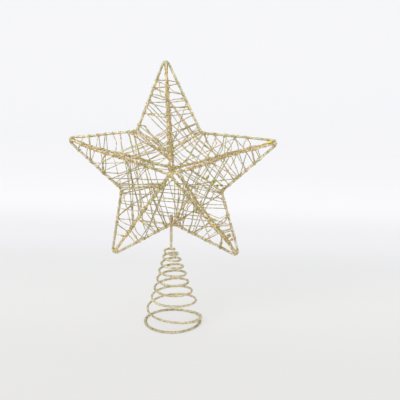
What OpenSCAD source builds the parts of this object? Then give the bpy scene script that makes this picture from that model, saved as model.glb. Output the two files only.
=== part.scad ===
// A wire star for the top of a christmas tree, standing on its own conical spring.
// Millimetres. The floor is z = 0, the spring winds round the Z axis and the star faces -Y.
// An arm's own frame has its length along Z from the star's centre, its width along X,
// and its front towards -Y. The arms are counted clockwise from the top one, seen from the front.

/* [Star frame] */
// Distance from the star's centre to the sharp corner of a tip
tip_corner_r = 108; // [88:1:150]
// Distance from the star's centre to the sharp corner of a notch
notch_corner_r = 53; // [42:1:66]
// Radius of the outline's bends, on the wire's centre line
bend_r = 2.5; // [2:0.1:4]
// Height of the front and the back apex over the plane of the outline
apex_depth = 12; // [9:0.5:24]
// Diameter of the outline wire
outline_d = 2.4; // [1.8:0.1:3.2]
// Diameter of the ten ridge wires
ridge_d = 2.4; // [1.8:0.1:3.2]
// Diameter of the twisted tie wires
tie_d = 1.7; // [1.2:0.1:2.4]
// Gap between wires that lie against each other
seat_gap = 0.06; // [0.04:0.01:0.15]

/* [Glue beads] */
// Diameter of the bead in each tip
tip_bead_d = 6.2; // [5.4:0.1:7.2]
// Diameter of the bead at each apex
apex_bead_d = 7; // [6:0.1:10]
// Diameter of the bead that holds the stem to the bottom notch
stem_bead_d = 5.4; // [4.4:0.1:7]

/* [Spring and stem] */
// Diameter of the spring and stem wire
spring_d = 2; // [1.6:0.1:2.6]
// Radius of the foot turn, on the wire's centre line
foot_r = 27.9; // [24:0.1:36]
// Depth of the flat that the foot turn stands on
foot_flat = 0.5; // [0.3:0.05:0.6]
// Radius of the topmost turn, on the wire's centre line
coil_top_r = 6; // [5:0.1:10]
// Height of the turns, from the foot turn to the topmost one, between centre lines
coil_rise = 77; // [60:0.5:120]
// Number of turns from the foot turn to the topmost one
coil_turns = 7.76; // [5:0.01:10]
// Rise of the short spiral that runs from the topmost turn in to the axis
neck_rise = 3; // [2:0.1:14]
// Length of the straight run from the short spiral up to the stem
neck_run = 5.5; // [3:0.5:14]
// Length of the stem, from the spring's end
stem_len = 29; // [22:0.5:60]
// Length of stem that stands up behind the bottom notch
stem_over_notch = 9.5; // [8.5:0.1:16]
// Gap between the spring's end and the stem
joint_gap = 0.05; // [0.03:0.01:0.1]

/* [Thin winding] */
// Diameter of the thin winding wire
winding_d = 0.8; // [0.5:0.05:1]
// Number of loops round each arm
arm_loops = 6; // [3:1:7]
// Length of each arm that the loops cover
arm_wound_len = 34; // [20:1:36]
// Distance from the star's centre to the first loop round an arm
arm_wound_from = 62; // [60:0.5:64]
// Number of turns of the web over the ridges, on each face
web_turns = 8; // [3:1:9]
// Distance along a ridge from the apex to the web's first crossing
web_from = 9; // [7:0.5:12]
// Distance along a ridge from the first crossing to the last
web_width = 49; // [30:1:50]
// Number of turns of thin wire that bind the stem over the notch
binding_turns = 4; // [2:1:4]

/* [Hidden] */
arm_names = ["top", "right", "lower_right", "lower_left", "left"];
tie_names = ["upper_left", "upper_right", "right", "bottom", "left"];
// Each tie runs from a notch to the ridge of this arm, from this side of it,
// and ends at this share of the tip's distance from the centre
tie_arms = [0, 0, 1, 2, 3];
tie_sides = [-1, 1, 1, 1, 1];
tie_end_shares = [0.17, 0.23, 0.19, 0.28, 0.14];

$fn = 48;

arm_step = 360 / len(arm_names);
half_step = arm_step / 2;
// Which way a face's ridges rise from the plane of the outline
front_rise_share = -1;
back_rise_share = 1;

glitter_gold = [0.78, 0.72, 0.52];
glue_gold = [0.8, 0.76, 0.46];
plain_gold = [0.77, 0.7, 0.58];

// Angle between an arm's axis and each of its two edges
edge_angle = atan2(
    notch_corner_r * sin(half_step),
    tip_corner_r - notch_corner_r * cos(half_step)
);
tip_bend_at = tip_corner_r - bend_r / sin(edge_angle);
notch_angle = half_step + edge_angle;
notch_bend_at = notch_corner_r + bend_r / sin(notch_angle);
notch_r = notch_bend_at - bend_r;
edge_normal = [cos(edge_angle), 0, sin(edge_angle)];
// The tip's bead fills the corner up to the inner side of the bend
tip_bead_at = tip_bend_at + (bend_r - outline_d / 2) * sin(edge_angle) - tip_bead_d / 2;

// A front and a back ridge lie side by side in the tip and part towards the centre
ridge_tip_y = (ridge_d + seat_gap) / 2;
ridge_side_gap = sqrt(pow((outline_d + ridge_d) / 2 + seat_gap, 2) - pow(ridge_tip_y, 2));
ridge_tip_at = min(
    tip_corner_r - ridge_side_gap / sin(edge_angle),
    tip_bend_at + bend_r - outline_d / 2
) - ridge_d / 2;
ridge_apex_at = (ridge_d / 2 + seat_gap) / sin(half_step);
function ridge_y(t) =
    ridge_tip_y
    + (apex_depth - ridge_tip_y) * (ridge_tip_at - t) / (ridge_tip_at - ridge_apex_at);
ridge_lean = atan2(apex_depth - ridge_tip_y, ridge_tip_at - ridge_apex_at);

// The stem passes just behind the outline's bottom notch
star_y = -((outline_d + spring_d) / 2 + seat_gap);
coil_z0 = spring_d / 2 - foot_flat;
coil_h = coil_z0 + coil_rise + neck_rise + neck_run;
stem_top = coil_h + stem_len;
notch_z = stem_top - stem_over_notch;
star_z = notch_z + notch_r;

// The spring's turns climb fast over the foot turn and more slowly towards the top
coil_rings = 20;
winding_sides = 6;
climb_share = 0.67;
narrow_share = 0.7;
settle_turns = 0.28;
narrow_turns = 0.4;
neck_turns = 0.45;
neck_power = 3;
landing_angle = 85;
foot_span = 360 - landing_angle;

function unit(v) = v / norm(v);
function round_y(p, a) = [p[0] * cos(a) + p[2] * sin(a), p[1], p[2] * cos(a) - p[0] * sin(a)];
function square_to(v, t) = unit(v - (v * t) * t);
function tangents(p) = [
    for (i = [0 : len(p) - 1])
        unit(
            (i == 0 ? [0, 0, 0] : unit(p[i] - p[i - 1]))
            + (i == len(p) - 1 ? [0, 0, 0] : unit(p[i + 1] - p[i]))
        )
];
// A direction square to the path, carried along it with no twist
function carried(t, first) = [
    for (
        i = 0, v = square_to(first, t[0]);
        i < len(t);
        i = i + 1, v = i < len(t) ? square_to(v, t[i]) : v
    ) v
];
function ring(c, t, v, d, sides) = [
    for (k = [0 : sides - 1])
        let (a = 360 * k / sides)
            c + d / 2 * (cos(a) * v + sin(a) * cross(t, v))
];
// The two triangles of each side face between one ring of points and the next
function side_faces(ring_from, ring_to, sides) = [
    for (k = [0 : sides - 1])
        each let (
            a = ring_from * sides + k,
            b = ring_from * sides + (k + 1) % sides,
            c = ring_to * sides + k,
            d = ring_to * sides + (k + 1) % sides
        ) [[a, c, b], [b, c, d]]
];
function tube_points(p, d, first) =
    let (t = tangents(p), v = carried(t, first))
        [for (i = [0 : len(p) - 1]) each ring(p[i], t[i], v[i], d, winding_sides)];
function tube_faces(rings) =
    let (last = (rings - 1) * winding_sides)
        concat(
            [for (k = [1 : winding_sides - 2]) [0, k, k + 1]],
            [for (k = [1 : winding_sides - 2]) [last, last + k + 1, last + k]],
            [for (i = [0 : rings - 2]) each side_faces(i, i + 1, winding_sides)]
        );
module tube(p, d, first) {
    polyhedron(points = tube_points(p, d, first), faces = tube_faces(len(p)));
}
// Least gap of a tube to itself, between points more than `skip` points apart
function least_gap(p, d, skip) = min([
    for (i = [0 : len(p) - 1 - skip])
        min([for (j = [i + skip : len(p) - 1]) norm(p[i] - p[j])])
]) - d;

// The outline is one closed wire: a bend at each tip and notch, and straight runs between
outline_sides = 16;
tip_rings = 7;
notch_rings = 4;
function bend_points(at, from, to, count) = [
    for (k = [0 : count - 1])
        let (a = from + (to - from) * k / (count - 1))
            [bend_r * cos(a), 0, at + bend_r * sin(a)]
];
outline_path = [
    for (arm = [0 : len(arm_names) - 1])
        each concat(
            [
                for (q = bend_points(tip_bend_at, 180 - edge_angle, edge_angle, tip_rings))
                    round_y(q, arm_step * arm)
            ],
            [
                for (q = bend_points(notch_bend_at, 180 + notch_angle, 360 - notch_angle, notch_rings))
                    round_y(q, arm_step * arm + half_step)
            ]
        )
];

// Points round a wire's section that a thinner wire passes over, from one angle to another
function corner_points(centre, r, from, to, count) =
    let (step = (to - from) / (count - 1))
        [
            for (k = [0 : count - 1])
                let (a = from + k * step)
                    centre + r / cos(step / 2) * [cos(a), -sin(a)]
        ];

// Four corners to a loop: an edge, the front ridge, the other edge, the back ridge
edge_points = 4;
ridge_points = 2;
loop_points = 2 * (edge_points + ridge_points);
function loop_corner(c, t) =
    let (
        u = (tip_corner_r - t) * tan(edge_angle),
        y = ridge_y(t),
        g = 90 - atan2(y, u),
        edge_r = outline_d / 2 / cos(edge_angle) + winding_d / 2 + seat_gap,
        ridge_r = (ridge_d + winding_d) / 2 + seat_gap,
        flat = c == 0 ? corner_points([u, 0], edge_r, -g, g, edge_points)
            : c == 1 ? corner_points([0, -y], ridge_r, g, 180 - g, ridge_points)
            : c == 2 ? corner_points([-u, 0], edge_r, 180 - g, 180 + g, edge_points)
            : corner_points([0, y], ridge_r, 180 + g, 360 - g, ridge_points)
    ) [for (q = flat) [q[0], q[1], t]];
corners = 4;
arm_path = [
    for (k = [0 : arm_loops * corners - 1])
        each loop_corner(k % corners, arm_wound_from + arm_wound_len * k / (arm_loops * corners))
];

// The web crosses each ridge in turn, on its outer side, further out at each crossing
web_lift = ridge_d / 2 / cos(ridge_lean) + winding_d / 2 + seat_gap;
web_half = ridge_d / 2;
web_crossings = web_turns * len(arm_names);
function web_path(face) = [
    for (k = [0 : web_crossings - 1], side = [-1, 1])
        let (
            s = web_from + web_width * k / (web_crossings - 1) - web_half * tan(half_step / 2),
            flat = [side * web_half, face * (ridge_y(s) + web_lift), s]
        ) round_y(flat, arm_step * k)
];

binding_points = 8;
binding_from = notch_z + stem_bead_d / 2 + winding_d;
binding_len = stem_top - winding_d - binding_from;
binding_r = ((spring_d + winding_d) / 2 + seat_gap) / cos(180 / binding_points);
binding_path = [
    for (k = [0 : binding_turns * binding_points])
        let (a = 360 * k / binding_points)
            [
                binding_r * cos(a),
                binding_r * sin(a),
                binding_from + binding_len * k / (binding_turns * binding_points)
            ]
];

// Radius and height of the spring's centre line, in turns up from the landing on the floor
function turn_r(u) =
    let (share = max(u - narrow_turns, 0) / (coil_turns - narrow_turns))
        foot_r - (foot_r - coil_top_r) * pow(share, narrow_share);
function turn_z(u) =
    coil_z0 + coil_rise * pow(u / coil_turns, climb_share) * (1 - exp(-u / settle_turns));
function turn_point(u) =
    let (a = landing_angle - 360 * u)
        [turn_r(u) * cos(a), turn_r(u) * sin(a), turn_z(u)];
function neck_point(s) =
    let (
        a = landing_angle - 360 * (coil_turns + neck_turns * s),
        r = coil_top_r * (1 - pow(s, neck_power))
    ) [r * cos(a), r * sin(a), coil_z0 + coil_rise + neck_rise * s];
turn_steps = round(coil_turns * coil_rings);
neck_steps = round(neck_turns * coil_rings);
// Both ends run straight, square to the foot turn and in line with the stem
coil_path = concat(
    [turn_point(0), turn_point(0) + spring_d * [sin(landing_angle), -cos(landing_angle), 0]],
    [for (k = [1 : turn_steps]) turn_point(coil_turns * k / turn_steps)],
    [for (k = [1 : neck_steps]) neck_point(k / neck_steps)],
    [[0, 0, coil_h]]
);
foot_end_under = turn_z(landing_angle / 360) - spring_d / 2;
foot_bead_d = foot_end_under - seat_gap;

echo(arm_winding_least_gap_mm = least_gap(arm_path, winding_d, loop_points - edge_points));
echo(web_winding_least_gap_mm = least_gap(web_path(back_rise_share), winding_d, 2 * len(arm_names) - 2));
echo(stem_binding_least_gap_mm = least_gap(binding_path, winding_d, binding_points - 2));
echo(coil_spring_least_gap_mm = least_gap(coil_path, spring_d, coil_rings / 2));

module on_arm(arm) {
    translate([0, star_y, star_z])
        rotate([0, arm_step * arm, 0])
            children();
}

// A straight wire between two points
module wire_run(from, to, d) {
    run = to - from;
    translate(from)
        rotate([0, acos(run[2] / norm(run)), atan2(run[1], run[0])])
            cylinder(h = norm(run), d = d);
}

module edge_run() {
    notch_centre = notch_bend_at * [sin(half_step), 0, cos(half_step)];
    wire_run(
        [0, 0, tip_bend_at] + bend_r * edge_normal,
        notch_centre - bend_r * edge_normal,
        outline_d
    );
}

module both_edges() {
    edge_run();
    mirror([1, 0, 0])
        edge_run();
}

// The bottom notch's seat in its bead: two straight runs that hold the bend between them
module notch_seat() {
    corner = [0, 0, (notch_corner_r + notch_r) / 2];
    seat_d = outline_d + notch_r - notch_corner_r + 2 * seat_gap;
    for (side = [-1, 1])
        let (along = [side * sin(notch_angle), 0, cos(notch_angle)])
            wire_run(corner - seat_d * along, corner + stem_bead_d * along, seat_d);
}

module ridge(face) {
    wire_run(
        [0, face * ridge_y(ridge_apex_at), ridge_apex_at],
        [0, face * ridge_y(ridge_tip_at), ridge_tip_at],
        ridge_d
    );
}

module outline_wire() {
    n = len(outline_path);
    points = [
        for (i = [0 : n - 1])
            let (
                before = unit(outline_path[i] - outline_path[(i + n - 1) % n]),
                after = unit(outline_path[(i + 1) % n] - outline_path[i])
            ) each ring(outline_path[i], unit(before + after), [0, 1, 0], outline_d, outline_sides)
    ];
    color(glitter_gold)
        on_arm(0)
            polyhedron(
                points = points,
                faces = [for (i = [0 : n - 1]) each side_faces(i, (i + 1) % n, outline_sides)]
            );
}

module ridge_wire(arm, face) {
    color(glitter_gold)
        on_arm(arm)
            ridge(face);
}

module tip_bead(arm) {
    color(glue_gold)
        on_arm(arm)
            difference() {
                translate([0, 0, tip_bead_at])
                    sphere(d = tip_bead_d);
                both_edges();
                ridge(front_rise_share);
                ridge(back_rise_share);
            }
}

module apex_bead(face) {
    color(glue_gold)
        difference() {
            translate([0, star_y + face * apex_depth, star_z])
                sphere(d = apex_bead_d);
            for (arm = [0 : len(arm_names) - 1])
                on_arm(arm)
                    ridge(face);
        }
}

// A tie starts over the front of a notch and butts against the side of a ridge
module tie_wire(tie) {
    side = tie_sides[tie];
    end_at = tie_end_shares[tie] * tip_corner_r;
    start = [
        side * notch_r * sin(half_step),
        -((outline_d + tie_d) / 2 + seat_gap),
        notch_r * cos(half_step)
    ];
    across = unit(start - [0, -ridge_y(end_at), end_at]);
    end_side = ridge_d / 2 + tie_d / 2 * norm([across[1], across[2]]) + seat_gap;
    color(glitter_gold)
        on_arm(tie_arms[tie])
            wire_run([side * end_side, -ridge_y(end_at), end_at], start, tie_d);
}

module arm_winding(arm) {
    color(plain_gold)
        on_arm(arm)
            tube(arm_path, winding_d, [0, 0, 1]);
}

module web_winding(face) {
    color(plain_gold)
        on_arm(0)
            tube(web_path(face), winding_d, [0, 1, 0]);
}

module stem_wire() {
    color(plain_gold)
        translate([0, 0, coil_h + joint_gap])
            cylinder(h = stem_len - joint_gap, d = spring_d);
}

module stem_bead() {
    color(glue_gold)
        difference() {
            translate([0, star_y / 2, notch_z])
                sphere(d = stem_bead_d);
            stem_wire();
            on_arm(5 / 2)
                notch_seat();
            // The front is flush with the outline wire's, so the tie passes before it
            translate([-stem_bead_d, star_y - outline_d / 2 - stem_bead_d, notch_z - stem_bead_d])
                cube([2 * stem_bead_d, stem_bead_d, 2 * stem_bead_d]);
        }
}

module stem_binding() {
    color(glitter_gold)
        tube(binding_path, winding_d, [0, 0, 1]);
}

module coil_spring() {
    points = tube_points(coil_path, spring_d, [0, 0, 1]);
    color(glitter_gold)
        polyhedron(
            points = [for (q = points) [q[0], q[1], max(q[2], 0)]],
            faces = tube_faces(len(coil_path))
        );
}

module foot_arc(d) {
    rotate([0, 0, landing_angle])
        rotate_extrude(angle = foot_span)
            translate([foot_r, coil_z0])
                circle(d = d);
}

module foot_turn() {
    color(glitter_gold)
        difference() {
            foot_arc(spring_d);
            translate([-foot_r - spring_d, -foot_r - spring_d, -spring_d])
                cube([2 * (foot_r + spring_d), 2 * (foot_r + spring_d), spring_d]);
        }
}

module foot_bead() {
    color(glue_gold)
        difference() {
            translate([foot_r, 0, foot_bead_d / 2])
                sphere(d = foot_bead_d);
            foot_arc(spring_d + seat_gap);
        }
}

outline_wire();
for (arm = [0 : len(arm_names) - 1]) {
    ridge_wire(arm, front_rise_share);
    ridge_wire(arm, back_rise_share);
    tip_bead(arm);
    tie_wire(arm);
    arm_winding(arm);
}
apex_bead(front_rise_share);  // front_apex_bead
apex_bead(back_rise_share);  // back_apex_bead
web_winding(front_rise_share);  // front_web_winding
web_winding(back_rise_share);  // back_web_winding
stem_wire();
stem_bead();
stem_binding();
coil_spring();
foot_turn();
foot_bead();
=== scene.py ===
# Christmas tree topper star: how it looks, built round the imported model.
# Lengths in the settings are millimetres unless a note says metres, angles degrees, shares 0 to 1.
import math

import bpy
import numpy as np
from mathutils import Matrix, Vector


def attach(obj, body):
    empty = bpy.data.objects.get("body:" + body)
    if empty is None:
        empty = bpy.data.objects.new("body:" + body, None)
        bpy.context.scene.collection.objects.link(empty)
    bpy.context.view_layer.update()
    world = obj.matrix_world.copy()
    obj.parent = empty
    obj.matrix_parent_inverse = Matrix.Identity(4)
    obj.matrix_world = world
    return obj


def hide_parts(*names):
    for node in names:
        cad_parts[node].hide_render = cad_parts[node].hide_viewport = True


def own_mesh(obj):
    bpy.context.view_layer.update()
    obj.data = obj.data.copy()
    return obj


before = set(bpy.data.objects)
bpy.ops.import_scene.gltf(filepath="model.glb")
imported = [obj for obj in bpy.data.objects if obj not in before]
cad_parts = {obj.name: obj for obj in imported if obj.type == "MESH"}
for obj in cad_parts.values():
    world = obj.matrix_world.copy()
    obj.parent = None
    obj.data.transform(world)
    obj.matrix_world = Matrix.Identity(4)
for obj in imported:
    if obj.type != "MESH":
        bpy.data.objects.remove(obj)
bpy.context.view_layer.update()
mm = 0.001

# where the frame's wires lie, as in the model
starFrame = {
    "planeY": -2.26,
    "centreZ": 158.84,
    "tipAt": 108,
    "notchAt": 53,
    "bendR": 2.5,
    "outlineR": 1.2,
    "ridgeR": 1.2,
    "ridgeTip": (1.23, 101.86),  # depth and distance out
    "ridgeApex": (12, 2.14),
    "halfStep": 36,
    "edgeAngle": 25.56,
}
armNames = ["top", "right", "lower_right", "lower_left", "left"]
armCount = len(armNames)
faceSides = {"F": -1, "B": 1}


def onArm(arm, x, y, z):
    # from an arm's own width, depth and length to the whole model's frame
    a = math.radians(2 * starFrame["halfStep"] * arm)
    return np.array([
        x * math.cos(a) + z * math.sin(a),
        starFrame["planeY"] + y,
        starFrame["centreZ"] + z * math.cos(a) - x * math.sin(a),
    ])


def byNotch(arm, side, out, y):
    # on the line from the centre out through the notch at one side of an arm
    half = math.radians(starFrame["halfStep"])
    return onArm(arm, side * out * math.sin(half), y, out * math.cos(half))


def unit(v):
    return v / max(np.linalg.norm(v), 1e-9)


def frameWire(code):
    # "0L" and "0R" are arm 0's left and right edge from notch to tip,
    # "0F" and "0B" its front and back ridge from the centre out
    arm, kind = int(code[0]), code[1]
    if kind in faceSides:
        side = faceSides[kind]
        (tipY, tipZ), (apexY, apexZ) = starFrame["ridgeTip"], starFrame["ridgeApex"]
        return onArm(arm, 0, side * apexY, apexZ), onArm(arm, 0, side * tipY, tipZ), starFrame["ridgeR"]
    notch = byNotch(arm, -1 if kind == "L" else 1, starFrame["notchAt"], 0)
    return notch, onArm(arm, 0, 0, starFrame["tipAt"]), starFrame["outlineR"]


# lines of points

def resample(points, step, closed=False):
    points = np.array(points, float)
    if closed:
        points = np.vstack([points, points[:1]])
    gaps = np.linalg.norm(np.diff(points, axis=0), axis=1)
    along = np.concatenate([[0], np.cumsum(gaps)])
    count = max(int(round(along[-1] / step)), 2)
    spots = np.linspace(0, along[-1], count + 1)
    if closed:
        spots = spots[:-1]
    return np.stack([np.interp(spots, along, points[:, i]) for i in range(3)], 1)


noiseSpread = 0.6


def smoothNoise(rng, count, reach):
    # a random line of values from about -1 to 1 that turns over every `reach` points
    knots = rng.normal(0, noiseSpread, int(count / reach) + 3)
    spots = np.arange(count) / reach
    low = spots.astype(int)
    t = spots - low
    t = t * t * (3 - 2 * t)
    return knots[low] * (1 - t) + knots[low + 1] * t


def wander(rng, count, reach, depth):
    # small random steps aside in all directions, none at the two ends
    aside = np.stack([smoothNoise(rng, count, reach) for _ in range(3)], 1)
    return aside * depth * np.sin(np.linspace(0, math.pi, count))[:, None]


def bendThrough(points, step):
    # a smooth line through a few points
    points = [np.array(p, float) for p in points]
    if len(points) == 2:
        return resample(points, step)
    padded = [2 * points[0] - points[1], *points, 2 * points[-1] - points[-2]]
    line = []
    for a, b, c, d in zip(padded, padded[1:], padded[2:], padded[3:]):
        for t in np.linspace(0, 1, 9)[:-1]:
            square = (2 * a - 5 * b + 4 * c - d) * t * t
            cube = (3 * b - a - 3 * c + d) * t**3
            line.append(0.5 * (2 * b + (c - a) * t + square + cube))
    line.append(points[-1])
    return resample(line, step)


def aroundWire(path, radius, turns, phase):
    # a line that winds about a straight run
    along = unit(path[-1] - path[0])
    side = unit(np.cross(along, [0, 1, 0]))
    up = np.cross(side, along)
    a = phase + 2 * math.pi * turns * np.linspace(0, 1, len(path))
    return path + radius * (np.cos(a)[:, None] * side + np.sin(a)[:, None] * up)


lumpReach = 5  # points from one thick place of a coat to the next


def bodyRun(points, radius, rng, uneven, closed=False):
    # the wire's radius wanders a little with the coat's thickness
    radii = radius * (1 + uneven * smoothNoise(rng, len(points), lumpReach))
    if closed:
        radii[-lumpReach:] = np.linspace(radii[-lumpReach], radii[0], lumpReach + 1)[:-1]
    return points, radii, closed


# from lines to meshes

def deselectAll():
    bpy.ops.object.select_all(action="DESELECT")


def pick(piece):
    deselectAll()
    piece.select_set(True)
    bpy.context.view_layer.objects.active = piece


def addWires(name, runs, sides, tint):
    # each run is (points, radii, closed), in millimetres; the curve's round bevel makes the wire
    deselectAll()
    bpy.ops.curve.primitive_nurbs_path_add(location=(0, 0, 0))
    curve = bpy.context.object.data
    curve.splines.clear()
    curve.dimensions = "3D"
    curve.bevel_depth = mm
    curve.bevel_resolution = (sides - 4) // 2
    curve.use_fill_caps = True
    for points, radii, closed in runs:
        spline = curve.splines.new("POLY")
        spline.points.add(len(points) - 1)
        spots = np.ones((len(points), 4))
        spots[:, :3] = np.array(points) * mm
        spline.points.foreach_set("co", spots.ravel())
        spline.points.foreach_set("radius", np.array(radii, float))
        spline.use_cyclic_u = closed
        spline.use_smooth = True
    bpy.ops.object.convert(target="MESH")
    wire = bpy.context.object
    wire.name = name
    wire.data.name = name
    setTint(wire, tint)
    return wire


def setTint(piece, tint):
    # the glue's colour in linear light, and on the foot turn painted shade that darkens it all over; white
    # leaves the glitter as it is
    layer = piece.data.attributes.get("tint") or piece.data.attributes.new("tint", "FLOAT_COLOR", "POINT")
    layer.data.foreach_set("color", np.tile((*tint, 1.0), len(piece.data.vertices)))


blobShape = {
    "uneven": 0.12,
    "fineShare": 0.6,  # blobs of more than two subdivisions are less uneven
}


def addBlob(name, spot, along, rng, size, stretch, tint, detail):
    # a ball pulled out along a wire and made uneven
    deselectAll()
    bpy.ops.mesh.primitive_ico_sphere_add(subdivisions=detail, radius=1, location=(0, 0, 0))
    blob = bpy.context.object
    blob.name = name
    turn = Vector(along).normalized().to_track_quat("Z", "Y").to_matrix().to_4x4()
    scale = Matrix.Diagonal((size * mm, size * mm, size * stretch * mm, 1))
    for v in blob.data.vertices:
        v.co *= 1 + blobShape["uneven"] * rng.normal() * (blobShape["fineShare"] if detail > 2 else 1)
    blob.data.transform(Matrix.Translation(Vector(spot) * mm) @ turn @ scale)
    setTint(blob, tint)
    return blob


def joinPieces(name, pieces):
    pick(pieces[0])
    for piece in pieces:
        piece.select_set(True)
    if len(pieces) > 1:
        bpy.ops.object.join()
    joined = bpy.context.object
    joined.name = name
    joined.data.name = name
    return joined


def closeMesh(piece):
    # caps join their tube, and every face looks outwards
    pick(piece)
    bpy.ops.object.mode_set(mode="EDIT")
    bpy.ops.mesh.select_all(action="SELECT")
    bpy.ops.mesh.remove_doubles(threshold=0.000001)
    bpy.ops.mesh.normals_make_consistent(inside=False)
    bpy.ops.object.mode_set(mode="OBJECT")


def lumps(name, kind, size):
    made = bpy.data.textures.new(name, kind)
    made.noise_scale = size * mm
    if kind == "VORONOI":
        made.distance_metric = "DISTANCE"
    return made


glueLumps = lumps("glueLumps", "CLOUDS", 1.5)
grainLumps = lumps("grainLumps", "VORONOI", 0.7)


def roughen(piece, lump, grain):
    # dried glue makes lumps, the grains of glitter a finer roughness
    pick(piece)
    for name, texture, depth in (("lumps", glueLumps, lump), ("grains", grainLumps, grain)):
        if depth:
            push = piece.modifiers.new(name, "DISPLACE")
            push.texture = texture
            push.texture_coords = "LOCAL"
            push.strength = depth * mm
            push.mid_level = 0.5
            bpy.ops.object.modifier_apply(modifier=name)


# nodes: each input takes a plain value or another node's output

def plug(tree, node, inputs):
    for name, value in inputs.items():
        if isinstance(value, bpy.types.NodeSocket):
            tree.links.new(value, node.inputs[name])
        else:
            node.inputs[name].default_value = value


def addNode(tree, kind, spot, inputs=None, **values):
    made = tree.nodes.new(kind)
    made.location = spot
    for name, value in values.items():
        setattr(made, name, value)
    plug(tree, made, inputs or {})
    return made


def maths(tree, spot, operation, *values):
    return addNode(tree, "ShaderNodeMath", spot, dict(enumerate(values)), operation=operation).outputs[0]


def mixed(tree, spot, share, first, second, blend="MULTIPLY"):
    inputs = {0: share, 6: first, 7: second}
    return addNode(tree, "ShaderNodeMix", spot, inputs, data_type="RGBA", blend_type=blend).outputs[2]


def ranged(tree, spot, value, low, high):
    return addNode(tree, "ShaderNodeMapRange", spot, {0: value, 3: low, 4: high}).outputs[0]


def bumped(tree, spot, height, strength, depth):
    inputs = {"Height": height, "Strength": strength, "Distance": depth * mm}
    return addNode(tree, "ShaderNodeBump", spot, inputs).outputs[0]


def colourRamp(tree, spot, value, stops, blend):
    ramp = addNode(tree, "ShaderNodeValToRGB", spot, {0: value})
    ramp.color_ramp.interpolation = blend
    bar = ramp.color_ramp.elements
    bar.remove(bar[-1])
    for index, (share, colour) in enumerate(stops):
        stop = bar[0] if index == 0 else bar.new(share)
        stop.position = share
        stop.color = (*colour, 1)
    return ramp.outputs[0]


def attribute(tree, spot, name, output):
    return addNode(tree, "ShaderNodeAttribute", spot, attribute_name=name).outputs[output]


def newFinish(name):
    made = bpy.data.materials.new(name)
    made.use_nodes = True
    return made, made.node_tree, made.node_tree.nodes["Principled BSDF"]


# glitter flakes: one cut flake of foil, slightly dished, that the scatter copies

flakeSettings = {
    "corners": 5,
    "radius": 0.27,
    "dish": 0.15,
    "tilt": 42,
    "sizes": (0.6, 1.25),
    "roughness": (0.14, 0.4),
    "metallic": 0.8,
    "shadeSeed": 7,
}


def addFlake():
    s = flakeSettings
    deselectAll()
    bpy.ops.mesh.primitive_circle_add(
        vertices=s["corners"], radius=s["radius"] * mm, fill_type="TRIFAN", location=(0, 0, 0)
    )
    flake = bpy.context.object
    flake.name = "flakePattern"
    middle = min(flake.data.vertices, key=lambda v: v.co.length)
    middle.co.z += s["dish"] * s["radius"] * mm
    flake.data.materials.append(flakeGold)
    return flake


def scatterGroup(flake):
    s = flakeSettings
    group = bpy.data.node_groups.new("glitterScatter", "GeometryNodeTree")
    for way, name, kind in (
        ("INPUT", "Geometry", "Geometry"),
        ("INPUT", "Density", "Float"),
        ("INPUT", "Seed", "Int"),
        ("OUTPUT", "Geometry", "Geometry"),
    ):
        group.interface.new_socket(name, in_out=way, socket_type="NodeSocket" + kind)
    start = addNode(group, "NodeGroupInput", (-900, 0)).outputs
    spread = addNode(group, "GeometryNodeDistributePointsOnFaces", (-700, 0), {
        "Mesh": start["Geometry"],
        "Density": start["Density"],
        "Seed": start["Seed"],
    })
    pattern = addNode(group, "GeometryNodeObjectInfo", (-500, -160), {"Object": flake})
    lean = math.radians(s["tilt"])
    limits = {0: (-lean, -lean, -math.pi), 1: (lean, lean, math.pi)}
    tilt = addNode(group, "FunctionNodeRandomValue", (-700, 240), limits, data_type="FLOAT_VECTOR")
    turn = addNode(group, "FunctionNodeRotateEuler", (-500, 160), {
        "Rotation": spread.outputs["Rotation"],
        "Rotate By": tilt.outputs[0],
    }, space="LOCAL")
    low, high = s["sizes"]
    size = addNode(group, "FunctionNodeRandomValue", (-500, -400), {2: low, 3: high}, data_type="FLOAT")
    place = addNode(group, "GeometryNodeInstanceOnPoints", (-300, 0), {
        "Points": spread.outputs["Points"],
        "Instance": pattern.outputs["Geometry"],
        "Rotation": turn.outputs["Rotation"],
        "Scale": size.outputs[1],
    })
    shade = addNode(
        group, "FunctionNodeRandomValue", (-300, -300), {"Seed": s["shadeSeed"]}, data_type="FLOAT"
    )
    keep = addNode(group, "GeometryNodeStoreNamedAttribute", (-100, 0), {
        "Geometry": place.outputs["Instances"],
        "Name": "flakeShade",
        "Value": shade.outputs[1],
    }, data_type="FLOAT", domain="INSTANCE")
    real = addNode(group, "GeometryNodeRealizeInstances", (100, 0), {"Geometry": keep.outputs["Geometry"]})
    both = addNode(group, "GeometryNodeJoinGeometry", (300, 0), {"Geometry": real.outputs["Geometry"]})
    group.links.new(start["Geometry"], both.inputs["Geometry"])
    addNode(group, "NodeGroupOutput", (500, 0), {"Geometry": both.outputs["Geometry"]})
    return group


def sprinkle(piece, perSquareMm, seed):
    pick(piece)
    modifier = piece.modifiers.new("glitter", "NODES")
    modifier.node_group = glitterScatter
    sockets = {s.name: s.identifier for s in glitterScatter.interface.items_tree if s.in_out == "INPUT"}
    modifier[sockets["Density"]] = perSquareMm / mm / mm
    modifier[sockets["Seed"]] = seed
    bpy.ops.object.modifier_apply(modifier="glitter")


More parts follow.
